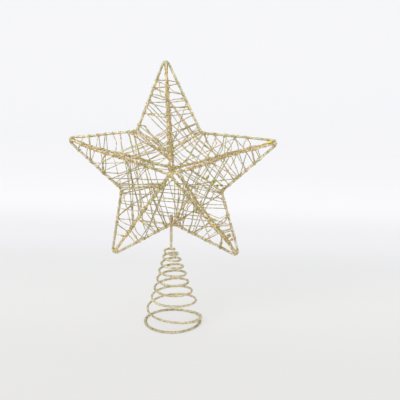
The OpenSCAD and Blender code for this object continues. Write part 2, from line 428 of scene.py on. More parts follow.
# what share of the grains has each colour, from dark to light and then the odd ones
grainColours = [
    (0.0, (0.32, 0.27, 0.15)),
    (0.06, (0.54, 0.4, 0.29)),
    (0.14, (0.6, 0.52, 0.31)),
    (0.33, (0.72, 0.64, 0.4)),
    (0.57, (0.85, 0.77, 0.53)),
    (0.78, (1.0, 0.94, 0.78)),
    (0.9, (0.88, 0.62, 0.28)),
    (0.95, (0.66, 0.65, 0.24)),
]
coatSettings = {
    "sizes": {"Grain Size": 0.6, "Clump Size": 2.4, "Patch Size": 9.0},
    "depths": {"Clump Depth": 0.8, "Patch Depth": 0.35},
    # clumps where the glue shows through darker, and lighter bluish clumps that are painted sparkle
    # highlights
    "clumpTonesAndPaintedSparkle": [(0.38, (0.58, 0.56, 0.5)), (0.62, (1.25, 1.24, 1.32))],
    # slow patches where the coat is greener or pinker
    "patchTones": [(0.36, (0.86, 0.95, 0.74)), (0.64, (1.12, 0.97, 0.94))],
    "clumpDetail": 2,
    "patchDetail": 3,
    "roughness": (0.2, 0.55),
    "metallic": (0.35, 0.85),
    "grainFall": -0.8,  # how much lower a grain's edge is than its middle
}


def glitterCoatGroup():
    # grains of glitter in glue: colour, gloss and height that change from grain to grain
    s = coatSettings
    group = bpy.data.node_groups.new("glitterCoat", "ShaderNodeTree")
    for name, value in {**s["sizes"], **s["depths"]}.items():
        socket = group.interface.new_socket(name, in_out="INPUT", socket_type="NodeSocketFloat")
        socket.default_value = value
    group.interface.new_socket("Color", in_out="OUTPUT", socket_type="NodeSocketColor")
    for name in ("Roughness", "Metallic", "Height"):
        group.interface.new_socket(name, in_out="OUTPUT", socket_type="NodeSocketFloat")
    start = addNode(group, "NodeGroupInput", (-1100, 0)).outputs
    place = addNode(group, "ShaderNodeTexCoord", (-1100, 300)).outputs["Object"]
    inputs = []
    for row, name in enumerate(s["sizes"]):
        scale = maths(group, (-900, 260 - 300 * row), "DIVIDE", 1 / mm, start[name])
        inputs.append({"Vector": place, "Scale": scale})
    grains = addNode(group, "ShaderNodeTexVoronoi", (-680, 260), inputs[0]).outputs
    clumps = addNode(group, "ShaderNodeTexNoise", (-680, -40), {**inputs[1], "Detail": s["clumpDetail"]})
    patches = addNode(group, "ShaderNodeTexNoise", (-680, -340), {**inputs[2], "Detail": s["patchDetail"]})
    shares = addNode(group, "ShaderNodeSeparateColor", (-480, 260), {0: grains["Color"]}).outputs
    palette = colourRamp(group, (-280, 320), shares[0], grainColours, "CONSTANT")
    patchTone = colourRamp(group, (-480, -340), patches.outputs[0], s["patchTones"], "LINEAR")
    toned = mixed(group, (0, 240), start["Patch Depth"], palette, patchTone)
    # painted sparkle: the lighter clump tone brightens the coat's colour in random spots
    clumpToneAndPaintedSparkle = colourRamp(group, (-480, -40), clumps.outputs[0], s["clumpTonesAndPaintedSparkle"], "LINEAR")
    clumped = mixed(group, (200, 240), start["Clump Depth"], toned, clumpToneAndPaintedSparkle)
    # the tint: the glue's colour, and on the foot turn painted shade
    glue = attribute(group, (200, 480), "tint", "Color")
    addNode(group, "NodeGroupOutput", (700, 0), {
        "Color": mixed(group, (400, 240), 1, clumped, glue),
        "Roughness": ranged(group, (0, 0), shares[1], *s["roughness"]),
        "Metallic": ranged(group, (0, -240), shares[2], *s["metallic"]),
        "Height": maths(group, (0, -480), "MULTIPLY_ADD", grains["Distance"], s["grainFall"], shares[0]),
    })
    return group


glitterCoat = glitterCoatGroup()

glitterWireSettings = {
    "coat": {"Grain Size": 0.8, "Clump Size": 2.2, "Clump Depth": 0.85, "Patch Size": 8, "Patch Depth": 0.9},
    "bump": (0.6, 0.25),  # strength and depth
    "clear": (0.15, 0.25),  # weight and roughness
}
thinWireSettings = {
    "coat": {"Grain Size": 0.9, "Clump Size": 3, "Clump Depth": 0.6, "Patch Size": 9, "Patch Depth": 0.9},
    "bump": (0.6, 0.2),
    "clear": (0.1, 0.25),
}
glueBlobSettings = {
    "coat": {"Grain Size": 0.65, "Clump Size": 1.8, "Clump Depth": 0.7, "Patch Size": 6, "Patch Depth": 0.5},
    "bump": (0.6, 0.25),
    "clear": (0.5, 0.25),
}


def coatedFinish(name, settings):
    made, tree, shader = newFinish(name)
    coat = addNode(tree, "ShaderNodeGroup", (-500, 0), settings["coat"], node_tree=glitterCoat)
    plug(tree, shader, {
        "Base Color": coat.outputs["Color"],
        "Roughness": coat.outputs["Roughness"],
        "Metallic": coat.outputs["Metallic"],
        "Normal": bumped(tree, (-240, -300), coat.outputs["Height"], *settings["bump"]),
        "Coat Weight": settings["clear"][0],
        "Coat Roughness": settings["clear"][1],
    })
    return made


def flakeFinish():
    # loose foil flakes, each one colour all over
    made, tree, shader = newFinish("flakeGold")
    shade = attribute(tree, (-700, 100), "flakeShade", "Fac")
    palette = colourRamp(tree, (-480, 200), shade, grainColours, "CONSTANT")
    plug(tree, shader, {
        # the tint: the glue's colour, and on the foot turn painted shade
        "Base Color": mixed(tree, (-200, 200), 1, palette, attribute(tree, (-480, -60), "tint", "Color")),
        "Roughness": ranged(tree, (-200, -100), shade, *flakeSettings["roughness"]),
        "Metallic": flakeSettings["metallic"],
    })
    return made


stemFinishSettings = {
    "dull": (0.5, 0.4, 0.29),
    "bright": (0.68, 0.58, 0.44),
    "drawSize": 1.2,
    "drawSquash": 0.12,  # the marks run long along the wire
    "drawDetail": 4,
    "speck": 0.7,
    "specksAbove": 0.72,
    "roughness": (0.28, 0.5),
    "metallic": 0.6,
    "bump": (0.4, 0.1),
}


def plainWireFinish():
    # bare champagne wire with drawing marks along it and a little stray glitter
    s = stemFinishSettings
    made, tree, shader = newFinish("plainGold")
    place = addNode(tree, "ShaderNodeTexCoord", (-1000, 0)).outputs["Object"]
    squash = (1, 1, s["drawSquash"])
    along = addNode(tree, "ShaderNodeMapping", (-820, 120), {"Vector": place, "Scale": squash})
    marks = addNode(tree, "ShaderNodeTexNoise", (-620, 120), {
        "Vector": along.outputs[0],
        "Scale": 1 / (s["drawSize"] * mm),
        "Detail": s["drawDetail"],
    }).outputs[0]
    tone = mixed(tree, (-380, 200), marks, (*s["dull"], 1), (*s["bright"], 1), "MIX")
    coat = addNode(tree, "ShaderNodeGroup", (-620, -200), {"Grain Size": s["speck"]}, node_tree=glitterCoat)
    stray = maths(tree, (-380, -60), "GREATER_THAN", coat.outputs["Metallic"], s["specksAbove"])
    plug(tree, shader, {
        "Base Color": mixed(tree, (-160, 160), stray, tone, coat.outputs["Color"], "MIX"),
        "Roughness": ranged(tree, (-160, -120), marks, *s["roughness"]),
        "Normal": bumped(tree, (-160, -340), marks, *s["bump"]),
        "Metallic": s["metallic"],
    })
    return made


glitterGold = coatedFinish("glitterGold", glitterWireSettings)
thinGold = coatedFinish("thinGold", thinWireSettings)
glueGold = coatedFinish("glueGold", glueBlobSettings)
flakeGold = flakeFinish()
plainGold = plainWireFinish()
glitterScatter = scatterGroup(addFlake())
print("finishes made")

# how far the hand-bent tips, notches and middle stand off their nominal places, across and up
handBend = {
    "tips": [(-2.5, 2.8), (2.9, -0.8), (4.4, 1.6), (2.1, -0.4), (0.7, -0.5)],
    "notches": [(-1.0, -3.4), (-0.5, -1.5), (1.6, 1.1), (1.8, -1.6), (-0.5, -2.6)],
    "middle": (1.3, 1.0),
    # bowed ridges: arm, how far out, shift across and up, reach
    "bows": [
        (4, 68, 0, -1.1, 8),
        (4, 84, 0, -1.3, 7),
        (1, 54, 0, 0.9, 8),
        (1, 68, 0, 0.9, 8),
        (2, 84, 0.8, 0.6, 8),
    ],
}


def bendByHand(piece):
    spots = np.empty(3 * len(piece.data.vertices))
    piece.data.vertices.foreach_get("co", spots)
    spots = spots.reshape(-1, 3)
    flat = np.stack([spots[:, 0] / mm, spots[:, 2] / mm - starFrame["centreZ"]], 1)
    corners, shifts = [], []
    for step in range(2 * armCount + 1):
        kind, reach = ("notches", starFrame["notchAt"]) if step % 2 else ("tips", starFrame["tipAt"])
        a = math.radians(starFrame["halfStep"] * step)
        corners.append((reach * math.sin(a), reach * math.cos(a)))
        shifts.append(handBend[kind][step // 2 % armCount])
    corners, shifts = np.array(corners), np.array(shifts, float)
    # each place moves with the tip, the notch and the middle of its own tenth of the star
    around = np.degrees(np.arctan2(flat[:, 0], flat[:, 1])) % 360
    sector = (around / starFrame["halfStep"]).astype(int) % (2 * armCount)
    first, second = corners[sector], corners[sector + 1]
    area = first[:, 0] * second[:, 1] - first[:, 1] * second[:, 0]
    one = ((flat[:, 0] * second[:, 1] - flat[:, 1] * second[:, 0]) / area)[:, None]
    two = ((first[:, 0] * flat[:, 1] - first[:, 1] * flat[:, 0]) / area)[:, None]
    middle = np.clip(1 - one - two, 0, 1) * np.array(handBend["middle"])
    move = one * shifts[sector] + two * shifts[sector + 1] + middle
    for arm, out, across, up, reach in handBend["bows"]:
        a = math.radians(2 * starFrame["halfStep"] * arm)
        gap = np.linalg.norm(flat - (out * math.sin(a), out * math.cos(a)), axis=1)
        move += np.exp(-0.5 * (gap / reach) ** 2)[:, None] * (across, up)
    spots[:, 0] += move[:, 0] * mm
    spots[:, 2] += move[:, 1] * mm
    piece.data.vertices.foreach_set("co", spots.ravel())
    piece.data.update()


def restOnFloor(piece):
    # the coat is worn flat where the wire stands
    for v in piece.data.vertices:
        v.co.z = max(v.co.z, 0.0)


def finishPiece(piece, node, body, finish, settings, seed, shape):
    # the coat and its flakes, then the bends or the wear of the whole piece
    piece.data.materials.append(finish)
    roughen(piece, settings["lump"], settings["grain"])
    sprinkle(piece, settings["flakes"], seed)
    if shape:
        shape(piece)
    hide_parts(node)
    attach(piece, body)


def finishWires(piece, node, body, finish, settings, seed, shape=None):
    closeMesh(piece)
    finishPiece(piece, node, body, finish, settings, seed, shape)


def finishBlob(blob, node, body, settings, seed, shape=None):
    pick(blob)
    bpy.ops.object.shade_smooth()
    finishPiece(blob, node, body, glueGold, settings, seed, shape)


# the outline: one wire bent through five tips and five notches

outlineSettings = {
    "radius": 1.2,
    "tipBendR": 3.5,
    "tipPoints": 9,
    "notchPoints": 7,
    "step": 0.5,
    "sides": 12,
    "uneven": 0.06,
    "lump": 0.4,
    "grain": 0.25,
    "flakes": 2.4,
    "tint": (0.955, 1.01, 1.14),
    "seed": 11,
    "flakeSeed": 1,
}


def outlinePath():
    s = outlineSettings
    edge = math.radians(starFrame["edgeAngle"])
    turn = math.radians(starFrame["halfStep"]) + edge
    bend, tipR = starFrame["bendR"], s["tipBendR"]
    tipBend = starFrame["tipAt"] - tipR / math.sin(edge)
    notchBend = starFrame["notchAt"] + bend / math.sin(turn)
    line = []
    for arm in range(armCount):
        for a in np.linspace(math.pi - edge, edge, s["tipPoints"]):
            line.append(onArm(arm, tipR * math.cos(a), 0, tipBend + tipR * math.sin(a)))
        for a in np.linspace(math.pi + turn, 2 * math.pi - turn, s["notchPoints"]):
            line.append(onArm(arm + 0.5, bend * math.cos(a), 0, notchBend + bend * math.sin(a)))
    return line


def makeOutline():
    s = outlineSettings
    rng = np.random.default_rng(s["seed"])
    path = resample(outlinePath(), s["step"], closed=True)
    run = bodyRun(path, s["radius"], rng, s["uneven"], True)
    wire = addWires("outline_glitter", [run], s["sides"], s["tint"])
    finishWires(wire, "outline_wire", "star", glitterGold, s, s["flakeSeed"], bendByHand)


# the ridges: a coated core with thin wire wrapped about it

ridgeSettings = {
    "radius": 1.05,
    "step": 0.55,
    "sides": 10,
    "uneven": 0.07,
    "wave": 0.35,
    "waveReach": 22,
    "lump": 0.4,
    "grain": 0.25,
    "flakes": 2.2,
    "coreTint": (1.1, 1.06, 1.07),
    "wrapR": 0.32,
    "wrapOut": 0.1,
    "wrapUneven": 0.25,
    "wrapCuts": 3,
    "wrapGaps": (1, 8),  # points left out before each piece of wrap
    # turns, the other way round where negative, and tint
    "wraps": {
        "F": [(17, (1.2, 1.15, 1.15)), (-11, (0.82, 0.76, 0.64)), (6, (1.12, 0.92, 0.7))],
        "B": [(9, (1.15, 1.1, 1.05)), (-5, (0.82, 0.78, 0.64))],
    },
    "names": {"F": "front_ridge_", "B": "back_ridge_"},
    "seeds": {"F": 20, "B": 70},
    "flakeSeed": 40,
}


def makeRidge(arm, face):
    s = ridgeSettings
    rng = np.random.default_rng(s["seeds"][face] + arm)
    start, end, _ = frameWire(str(arm) + face)
    path = resample([start, end], s["step"])
    path = path + wander(rng, len(path), s["waveReach"], s["wave"])
    parts = [addWires("core", [bodyRun(path, s["radius"], rng, s["uneven"])], s["sides"], s["coreTint"])]
    for turns, tint in s["wraps"][face]:
        coil = aroundWire(path, s["radius"] + s["wrapOut"], turns, rng.uniform(0, 6))
        for cut in np.array_split(coil, s["wrapCuts"]):
            first = rng.integers(*s["wrapGaps"])
            run = bodyRun(cut[first:], s["wrapR"], rng, s["wrapUneven"])
            parts.append(addWires("wrap", [run], s["sides"] - 2, tint))
    node = s["names"][face] + armNames[arm]
    ridge = joinPieces(node + "_glitter", parts)
    finishWires(ridge, node, "star", glitterGold, s, s["flakeSeed"] + arm, bendByHand)


makeOutline()
for arm in range(armCount):
    for face in "FB":
        makeRidge(arm, face)
print("outline and ridges made")

# thin wire wound from one frame wire to the next

strandTints = [(1, 1, 0.94), (0.9, 0.9, 0.83), (0.8, 0.85, 0.72), (0.92, 0.82, 0.76), (0.7, 0.7, 0.62)]
strandSettings = {
    "radius": 0.39,
    "thick": 0.6,
    "radiusLimits": (0.25, 1.2),
    "lift": 0.8,  # how far off the wire that it leaves, as a share of its radius
    "step": 0.82,
    "sides": 6,
    "uneven": 0.2,
    "unevenReach": 2.2,
    "knots": (0.03, 1.35),  # share of points and how much thicker
    "wiggle": 0.22,
    "wiggleReach": 7,
    "bow": 0.25,
    "outBow": 0.5,
    "double": (0.9, 0.2),  # where a double strand's second wire lies, aside and outwards
    "turns": (0.7, 1.3),
    "pitch": (0.7, 1.5),
    "lump": 0.25,
    "grain": 0,
    "flakes": 1.5,
    "seed": 300,
}

# wire and share, wire and share, then how thick, or bends as (share along, millimetres aside)
windings = {
    "arm_winding_left": [
        ("4R", .75, "4F", .90), ("4R", .67, "4F", .80, "double"), ("4R", .54, "4F", .74),
        ("4R", .54, "4B", .72), ("4R", .45, "4B", .69), ("4R", .43, "4B", .65),
        ("4R", .34, "4F", .54, (0.41, 3)), ("4R", .23, "4F", .45, "thick"), ("4F", .90, "4L", .77, "thick"),
        ("4B", .84, "4L", .64), ("4F", .80, "4L", .56, "thick"), ("4F", .75, "4L", .55),
        ("4B", .72, "4L", .44, (0.66, 3.3)), ("4F", .63, "4L", .34, "thick", (0.33, -2.1)),
        ("4L", .53, "4F", .34), ("4F", .64, "4L", .29),
        ("4L", .31, "4F", .49, "thick", (0.33, 8.3), (0.58, 7.4), (0.83, 5.1)),
    ],
    "arm_winding_lower_left": [
        ("3B", .39, "3L", .25), ("3R", .28, "3F", .45), ("3R", .41, "3B", .23, (0.34, 2)),
        ("3R", .44, "3B", .63), ("3R", .43, "3B", .70, (0.43, -1.5)), ("3R", .50, "3F", .73, "thick"),
        ("3R", .65, "3F", .78), ("3R", .67, "3B", .84), ("3F", .47, "3L", .40, (0.41, -1.6)),
        ("3F", .63, "3L", .45, (0.52, -2.3)), ("3F", .69, "3L", .55, "thick"), ("3F", .75, "3L", .60),
        ("3B", .62, "3L", .03), ("3F", .55, "3L", .28), ("3B", .49, "3L", .23),
        ("3B", .60, "3L", .17, (0.38, -2.5)), ("3B", .57, "3L", .28), ("3F", .57, "3L", .03),
        ("3R", .19, "3F", .40),
    ],
    "arm_winding_lower_right": [
        ("2R", .31, "2B", .67, (0.28, 2)), ("2F", .35, "2R", .23, "thick", (0.66, 1.6)),
        ("2F", .43, "2R", .29), ("2B", .46, "2R", .31, (0.54, 1)), ("2B", .23, "2R", .56, (0.8, .7)),
        ("2F", .59, "2R", .33), ("2B", .67, "2R", .44), ("2B", .75, "2R", .50), ("2R", .03, "2F", .64),
        ("2F", .52, "2L", .50), ("2B", .41, "2L", .21), ("2F", .39, "2L", .25),
        ("2F", .39, "2L", .33, (0.65, -6.2), (0.82, -5.6)), ("2B", .67, "2L", .36), ("2F", .64, "2L", .49),
        ("2B", .69, "2L", .53), ("2B", .75, "2L", .57), ("2F", .77, "2R", .70, "thick"),
        ("2B", .61, "2R", .31), ("2F", .70, "2R", .49),
        ("2F", .64, "2L", .35, "thick", (0.48, -2.7), (0.68, -2.9)), ("2L", .36, "2F", .69, (0.28, 1)),
        ("2L", .57, "2F", .73), ("2B", .78, "2L", .60), ("2F", .81, "2L", .64, (0.45, 2), (0.7, 1.8)),
        ("2F", .83, "2L", .68, (0.43, 2.6), (0.7, 2)), ("2F", .85, "2L", .71),
    ],
    "arm_winding_right": [
        ("1L", .29, "1B", .42, (0.39, 1.5)), ("1L", .29, "1F", .57, (0.57, 3.7)), ("1L", .44, "1F", .51),
        ("1L", .41, "1F", .65, (0.54, 1.7)), ("1L", .40, "1B", .71), ("1L", .57, "1B", .74, (0.62, 2.9)),
        ("1B", .83, "1R", .67), ("1B", .79, "1R", .65), ("1B", .77, "1R", .57), ("1F", .72, "1R", .55),
        ("1B", .74, "1R", .32), ("1B", .64, "1R", .42), ("1F", .63, "1R", .42), ("1F", .58, "1R", .31),
        ("1B", .46, "1R", .28), ("1F", .47, "1R", .23), ("1F", .38, "1R", .28),
        ("1L", .30, "1F", .43, (0.4, 1.1), (0.52, 2.4)), ("1L", .32, "1F", .51), ("1L", .15, "1F", .61),
        ("1L", .59, "1F", .69, (0.39, -1.4)), ("1F", .60, "1L", .92, (0.49, 2.3), (0.62, 1.2)),
        ("1B", .44, "1R", .21), ("1F", .78, "1R", .56), ("1L", .05, "1F", .50, (0.29, -3.5), (0.45, -2.8)),
    ],
    "arm_winding_top": [
        ("0L", .69, "0B", .84, "0R", .67), ("0L", .69, "0F", .81), ("0L", .58, "0B", .78),
        ("0L", .59, "0F", .73, "thick"), ("0L", .77, "0F", .70, (0.8, -4.5)),
        ("0L", .49, "0B", .65, (0.35, 1.7)), ("0L", .39, "0B", .63), ("0L", .39, "0B", .57),
        ("0L", .43, "0B", .48, (0.7, -1.5)), ("0L", .28, "0F", .35), ("0L", .33, "0B", .34),
        ("0L", .24, "0F", .55), ("0L", .25, "0F", .51), ("0B", .79, "0R", .65), ("0B", .73, "0R", .51),
        ("0F", .66, "0R", .46), ("0B", .63, "0R", .43), ("0B", .58, "0R", .35),
        ("0F", .54, "0R", .32, (0.5, .8)), ("0B", .50, "0R", .26), ("0F", .41, "0R", .24),
        ("0L", .37, "0B", .39), ("0L", .62, "0F", .74, (0.49, -1.4)), ("0L", .49, "0F", .67),
        ("0F", .82, "0R", .51, (0.47, -2.5), (0.67, -1.3)), ("0F", .62, "0R", .35, (0.59, -1.2)),
    ],
    "back_web_winding": [
        ("0B", .64, "1B", .36, (0.19, 1.8)), ("0B", .65, "1B", .44), ("0B", .33, "0R", .13),
        ("1B", .54, "2B", .44), ("2B", .19, "1R", .25), ("1B", .28, "1R", .13), ("4R", .12, "4B", .37),
        ("4L", .33, "4B", .20, (0.29, -4.2), (0.45, -3.7)), ("4B", .48, "3B", .66), ("4L", .12, "3B", .18),
        ("4B", .55, "0B", .39), ("4B", .36, "0B", .21), ("4B", .24, "0B", .20), ("4B", .21, "0B", .11),
        ("4L", .21, "3B", .12), ("4L", .08, "3B", .17), ("4L", .03, "3B", .22), ("0B", .33, "1B", .27),
        ("0B", .10, "1B", .07), ("0B", .16, "0R", .08), ("2B", .14, "2R", .15),
        ("4B", .40, "3B", .53, (0.25, 1.4), (0.46, 1.4), (0.67, 1.8)), ("4B", .43, "3B", .69, (0.43, 1.4)),
        ("4B", .48, "3B", .59, (0.71, 2.4)), ("4B", .29, "3B", .36),
        ("0B", .43, "1B", .34, (0.27, 1), (0.38, .8)), ("0R", .12, "0B", .24, (0.54, -3.1), (0.67, -2.7)),
        ("0R", .04, "0B", .24), ("0B", .21, "1B", .20), ("0B", .55, "1B", .34, (0.81, -0.8)),
        ("1B", .38, "2B", .26), ("1B", .03, "2L", .16), ("2B", .19, "2L", .06, (0.46, 2.1)),
        ("2B", .08, "2L", .18, (0.56, -5)), ("4B", .38, "0B", .38, (0.77, -2.4)),
        ("0L", .03, "0B", .14, (0.59, -5.1)), ("4B", .41, "0B", .28, (0.47, -2.1)),
        ("4B", .25, "0B", .23, (0.38, -0.7)), ("4L", .08, "4B", .22, (0.51, -5.4), (0.61, -4)),
        ("4B", .28, "3B", .30, (0.38, .8)), ("3R", .41, "3B", .16), ("3R", .07, "3B", .30),
        ("4B", .46, "3B", .55), ("3B", .04, "3L", .55, (0.62, 2.3), (0.77, 2.5)), ("3B", .23, "2B", .25),
        ("3B", .27, "2B", .31), ("3B", .37, "2B", .41), ("3B", .49, "2B", .58),
        ("3B", .08, "3L", .46, (0.37, 1.5)), ("3B", .08, "2R", .13), ("3B", .28, "3L", .10),
        ("2B", .21, "2R", .04), ("3B", .34, "3L", .09), ("2B", .23, "2R", .09), ("2B", .34, "2L", .11),
        ("2B", .44, "2L", .03),
    ],
    "front_web_winding": [
        ("0F", .17, "0R", .41), ("1L", .10, "1F", .21), ("1L", .20, "1F", .33),
        ("1F", .64, "2F", .48, (0.23, 1)), ("1F", .39, "1R", .13), ("1F", .39, "2F", .31),
        ("1L", .18, "1F", .26, (0.18, 3.7), (0.26, 4.8)), ("4R", .04, "4F", .27, "thick"),
        ("4F", .56, "0F", .39), ("4F", .50, "0F", .38), ("4L", .12, "4F", .28),
        ("4L", .35, "4F", .41, "0F", .28), ("4F", .53, "0F", .34), ("4F", .42, "0F", .27),
        ("4F", .32, "0F", .07, "double"), ("4R", .03, "0F", .12), ("0L", .08, "0F", .23),
        ("4R", .03, "4F", .31), ("4R", .06, "4F", .24, "3F", .26), ("4R", .03, "4F", .12),
        ("4R", .12, "4F", .32), ("4F", .13, "3F", .16), ("4F", .21, "3F", .22), ("4F", .31, "3F", .35),
        ("4F", .37, "3F", .42), ("0F", .40, "1F", .33), ("0F", .25, "1F", .21), ("0F", .21, "1F", .17),
        ("0F", .13, "1F", .10), ("0F", .16, "0R", .03), ("0F", .13, "1L", .04),
        ("4R", .11, "0F", .13, "thick", (0.68, 1.4), (0.8, .9)),
        ("1L", .03, "3F", .03, "thick", (0.37, 2.2), (0.5, 3.3)), ("3R", .06, "3F", .10, "thick"),
        ("1F", .22, "2F", .19, "thick"), ("1F", .28, "2F", .26),
        ("1F", .38, "2F", .35, (0.25, -0.9), (0.54, -1.3)), ("1F", .44, "2F", .35),
        ("1F", .11, "2L", .03, (0.36, .9)), ("1F", .08, "2L", .03, (0.45, -1.7)),
        ("2F", .08, "2L", .03, (0.55, -0.8)), ("2F", .07, "1R", .12, (0.19, -0.9)),
        ("2F", .15, "2L", .16, (0.47, -1.6)), ("1F", .57, "2F", .41, (0.79, -1.1)),
        ("1F", .57, "2F", .45, (0.79, -1.3)), ("2F", .10, "2R", .03, (0.29, 1.4)),
        ("4L", .21, "4F", .20, (0.77, .9)), ("3R", .18, "4F", .19, (0.8, 1.1)),
        ("0F", .70, "1F", .48, (0.48, -0.9)), ("0F", .70, "1F", .41), ("0F", .41, "1F", .28, (0.62, 2.3)),
        ("0F", .27, "1F", .24, (0.48, -1.7)), ("1L", .03, "1F", .45), ("0F", .04, "1L", .47),
        ("1F", .07, "2F", .45, (0.15, 1.8), (0.24, 1.6)), ("1F", .32, "2F", .34, (0.19, -2.3)),
        ("1F", .32, "1R", .06, (0.43, -1.5)), ("2F", .33, "2R", .14, (0.18, -2.2), (0.41, -2.3)),
        ("2F", .39, "2R", .04), ("0L", .09, "0F", .18, "thick", (0.14, 3), (0.26, 1.9)),
        ("0L", .03, "0F", .14, (0.16, -2.3), (0.25, -1.8)), ("4F", .15, "0F", .03, (0.24, .8)),
        ("4F", .21, "0F", .16, (0.57, -0.9)), ("4L", .07, "3F", .07),
        ("3F", .30, "2F", .03, "thick", (0.12, .9)), ("3R", .16, "3F", .33), ("4F", .56, "3F", .67),
        ("4F", .41, "3F", .65), ("4F", .32, "3F", .49), ("3F", .33, "3L", .23, (0.5, -1.4)),
        ("3F", .28, "3L", .11, "thick"), ("3F", .45, "2F", .57, (0.19, -1.1)), ("3F", .10, "2F", .13),
        ("3F", .25, "2F", .32, "thick"), ("3F", .35, "2F", .47), ("3F", .13, "3L", .03),
        ("2F", .05, "2R", .03), ("2F", .15, "2R", .03), ("2F", .20, "2R", .07), ("2F", .29, "2R", .05),
        ("3L", .04, "2F", .41),
    ],
}

glueTints = {
    "amber": (0.92, 0.74, 0.44),
    "yellow": (1.08, 1.06, 0.5),
    "green": (0.76, 0.8, 0.5),
    "brown": (0.7, 0.58, 0.44),
    "pink": (0.86, 0.68, 0.66),
    "dark": (0.5, 0.47, 0.35),
    "cream": (1.15, 1.2, 1.3),
}
